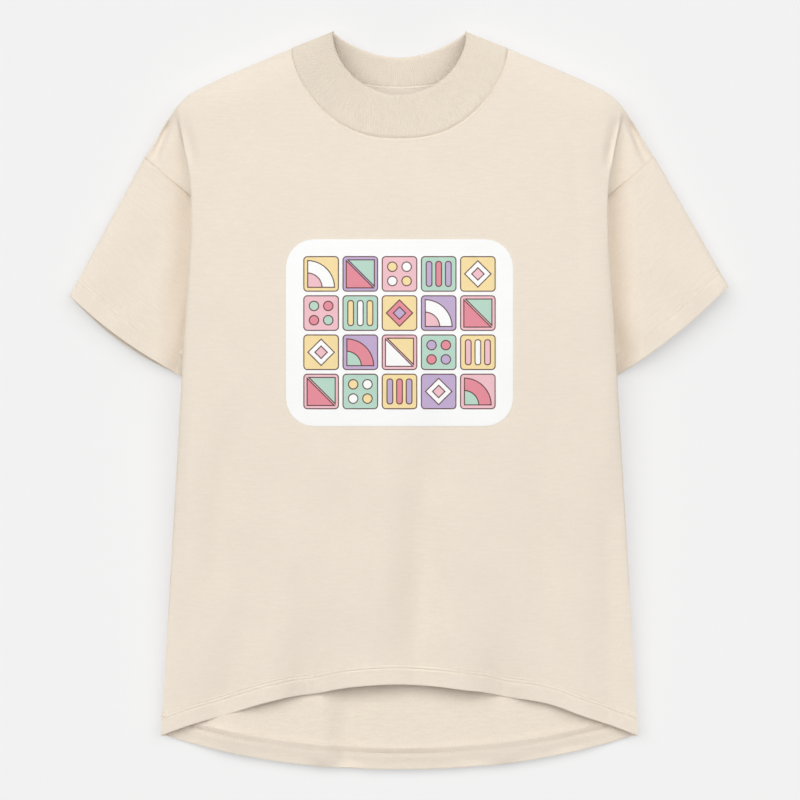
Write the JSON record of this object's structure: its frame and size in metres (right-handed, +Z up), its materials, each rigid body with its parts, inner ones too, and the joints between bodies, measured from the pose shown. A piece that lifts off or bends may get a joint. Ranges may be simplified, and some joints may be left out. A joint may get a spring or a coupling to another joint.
{
  "type": "t-shirt with a ribbed mock neck",
  "caption": "Short-sleeved jersey T-shirt with a ribbed mock neck, dropped shoulders, a dipped back hem and a printed patch on the chest, lying on its back.",
  "frame": {"origin": "on the resting surface, under the middle of the shirt's length and width", "axes": "+X across the chest towards the wearer's left sleeve, +Y along the body towards the collar, +Z up out of the front"},
  "size_m": [0.6612, 0.7382, 0.049],
  "materials": {
    "jersey": "matte",
    "rib": "matte",
    "tape": "matte",
    "film": "satin"
  },
  "bodies": {
    "root": {"front_panel": "jersey", "back_panel": "jersey", "left_sleeve": "jersey", "right_sleeve": "jersey", "collar_rib": "rib", "neck_tape": "tape", "chest_print": "film"}
  },
  "joints": []
}
